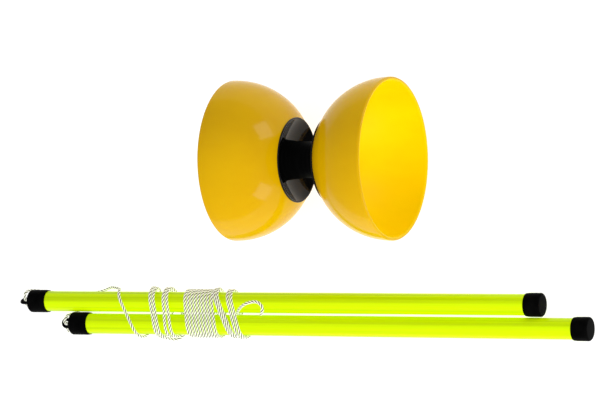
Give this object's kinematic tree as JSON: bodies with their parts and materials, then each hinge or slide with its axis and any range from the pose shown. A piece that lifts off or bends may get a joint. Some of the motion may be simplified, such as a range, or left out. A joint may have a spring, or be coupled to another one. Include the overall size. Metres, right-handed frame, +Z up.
{
  "type": "bearing diabolo set",
  "caption": "Diabolo with bowl-shaped cups on a bearing axle, lying beside its handsticks with the string wound round them.",
  "frame": {"origin": "on the floor, under the middle of the whole set's bounding box", "axes": "+Z up; +X along the handsticks and along the spool's axis, from the string end of the sticks to their plain end; +Y from the sticks towards the spool"},
  "size_m": [0.4634, 0.1867, 0.115],
  "materials": {
    "cup_plastic": "glossy soft plastic, slightly translucent",
    "hub_plastic": "polished black",
    "drum_plastic": "matte black",
    "zinc_steel": "zinc plated",
    "bearing_steel": "ground and polished",
    "pressed_steel": "pressed sheet",
    "stick_plastic": "satin neon yellow-green",
    "cap_plastic": "satin black",
    "string": "twisted white cord"
  },
  "bodies": {
    "stick_set": {"rear_stick_tube": "stick_plastic", "rear_tip_cap": "cap_plastic", "rear_string_eye": "cap_plastic", "rear_butt_cap": "cap_plastic", "front_stick_tube": "stick_plastic", "front_tip_cap": "cap_plastic", "front_string_eye": "cap_plastic", "front_butt_cap": "cap_plastic", "loose_turns": "string", "main_winding": "string", "end_turns": "string", "end_bight": "string", "rear_string_lead": "string", "front_string_lead": "string", "rear_string_knot": "string", "front_string_knot": "string"},
    "drum": {"axle_drum": "drum_plastic", "left_outer_race": "bearing_steel", "left_bearing_shields": "pressed_steel", "right_outer_race": "bearing_steel", "right_bearing_shields": "pressed_steel"},
    "spool": {"left_cup": "cup_plastic", "left_hub": "hub_plastic", "left_clamp_plate": "zinc_steel", "left_lock_nut": "zinc_steel", "left_inner_race": "bearing_steel", "left_spacer": "zinc_steel", "right_cup": "cup_plastic", "right_hub": "hub_plastic", "right_clamp_plate": "zinc_steel", "right_lock_nut": "zinc_steel", "right_inner_race": "bearing_steel", "right_spacer": "zinc_steel", "axle": "zinc_steel", "bearing_spacer": "zinc_steel"},
    "left_ball_set": {"left_balls": "bearing_steel", "left_ball_cage": "pressed_steel"},
    "right_ball_set": {"right_balls": "bearing_steel", "right_ball_cage": "pressed_steel"}
  },
  "joints": [
    {"name": "diabolo_lift", "type": "slide", "parent": "stick_set", "child": "drum", "axis": [0, 0, 1], "range_m": [0, 0.4]},
    {"name": "diabolo_spin", "type": "hinge", "parent": "drum", "child": "spool", "pos_m": [0.041, 0.03522, 0.0575], "axis": [1, 0, 0], "continuous": true},
    {"name": "left_ball_orbit", "type": "hinge", "parent": "drum", "child": "left_ball_set", "pos_m": [0.041, 0.03522, 0.0575], "axis": [1, 0, 0], "continuous": true},
    {"name": "right_ball_orbit", "type": "hinge", "parent": "drum", "child": "right_ball_set", "pos_m": [0.041, 0.03522, 0.0575], "axis": [1, 0, 0], "continuous": true}
  ],
  "couplings": [
    {"joint": "left_ball_orbit", "follows": "diabolo_spin", "ratio": 0.37},
    {"joint": "right_ball_orbit", "follows": "diabolo_spin", "ratio": 0.37}
  ]
}
